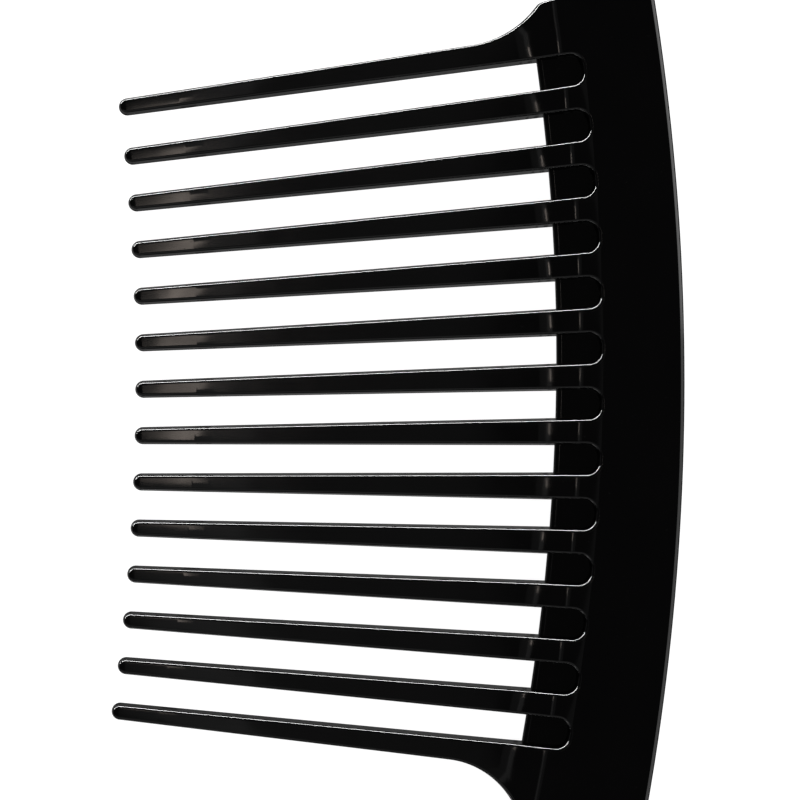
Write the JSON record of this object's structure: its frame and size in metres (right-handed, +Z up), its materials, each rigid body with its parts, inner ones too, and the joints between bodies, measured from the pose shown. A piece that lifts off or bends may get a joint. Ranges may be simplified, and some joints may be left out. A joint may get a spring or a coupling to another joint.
{
  "type": "wide tooth comb",
  "caption": "Wide tooth rake comb with long tapered teeth on a curved spine and a flat handle with a hanging hole, for detangling hair.",
  "frame": {"origin": "bottom centre of the comb as it lies flat on its back face", "axes": "+Z up through the thickness, +Y along the spine towards the free end with the handle at -Y, teeth pointing to -X"},
  "size_m": [0.0734, 0.2106, 0.006],
  "materials": {
    "black_plastic": "glossy moulded black plastic"
  },
  "bodies": {
    "root": {"spine": "black_plastic", "handle": "black_plastic", "end_shoulder": "black_plastic", "handle_shoulder": "black_plastic", "tooth_01": "black_plastic", "tooth_02": "black_plastic", "tooth_03": "black_plastic", "tooth_04": "black_plastic", "tooth_05": "black_plastic", "tooth_06": "black_plastic", "tooth_07": "black_plastic", "tooth_08": "black_plastic", "tooth_09": "black_plastic", "tooth_10": "black_plastic", "tooth_11": "black_plastic", "tooth_12": "black_plastic", "tooth_13": "black_plastic", "tooth_14": "black_plastic", "web_01": "black_plastic", "web_02": "black_plastic", "web_03": "black_plastic", "web_04": "black_plastic", "web_05": "black_plastic", "web_06": "black_plastic", "web_07": "black_plastic", "web_08": "black_plastic", "web_09": "black_plastic", "web_10": "black_plastic", "web_11": "black_plastic", "web_12": "black_plastic", "web_13": "black_plastic"}
  },
  "joints": []
}
